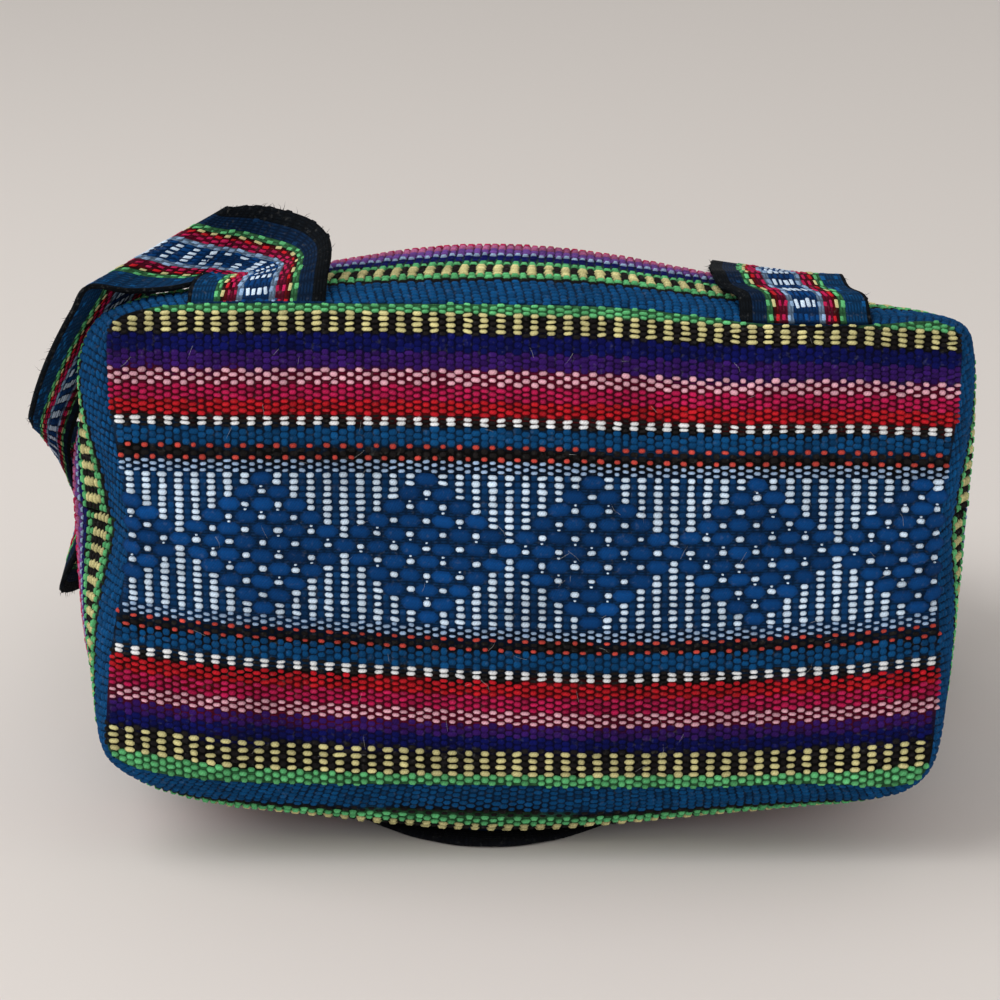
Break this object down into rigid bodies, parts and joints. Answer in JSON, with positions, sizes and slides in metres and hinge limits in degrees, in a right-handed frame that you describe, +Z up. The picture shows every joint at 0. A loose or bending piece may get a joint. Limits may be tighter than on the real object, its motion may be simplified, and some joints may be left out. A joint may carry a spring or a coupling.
{
  "type": "woven backpack",
  "caption": "Small hand-woven cloth backpack lying on its front, with a striped base panel, soft creased walls, an open mouth, a bound flap folded under it and flat woven shoulder straps.",
  "frame": {"origin": "on the floor under the middle of the part's box", "axes": "+Z up from the floor, base panel towards -Y, mouth towards +Y, the left strap of the picture towards -X"},
  "size_m": [0.263, 0.2876, 0.1688],
  "materials": {
    "base_cloth": "striped woven cotton",
    "wall_cloth": "striped woven cotton",
    "flap_cloth": "striped woven cotton",
    "dark_binding": "brushed dark cotton tape",
    "strap_cloth": "striped woven cotton"
  },
  "bodies": {
    "root": {"base_panel": "base_cloth", "back_panel": "wall_cloth", "front_panel": "wall_cloth", "flap": "flap_cloth", "flap_binding": "dark_binding", "strap_left": "strap_cloth", "strap_right": "strap_cloth"}
  },
  "joints": []
}
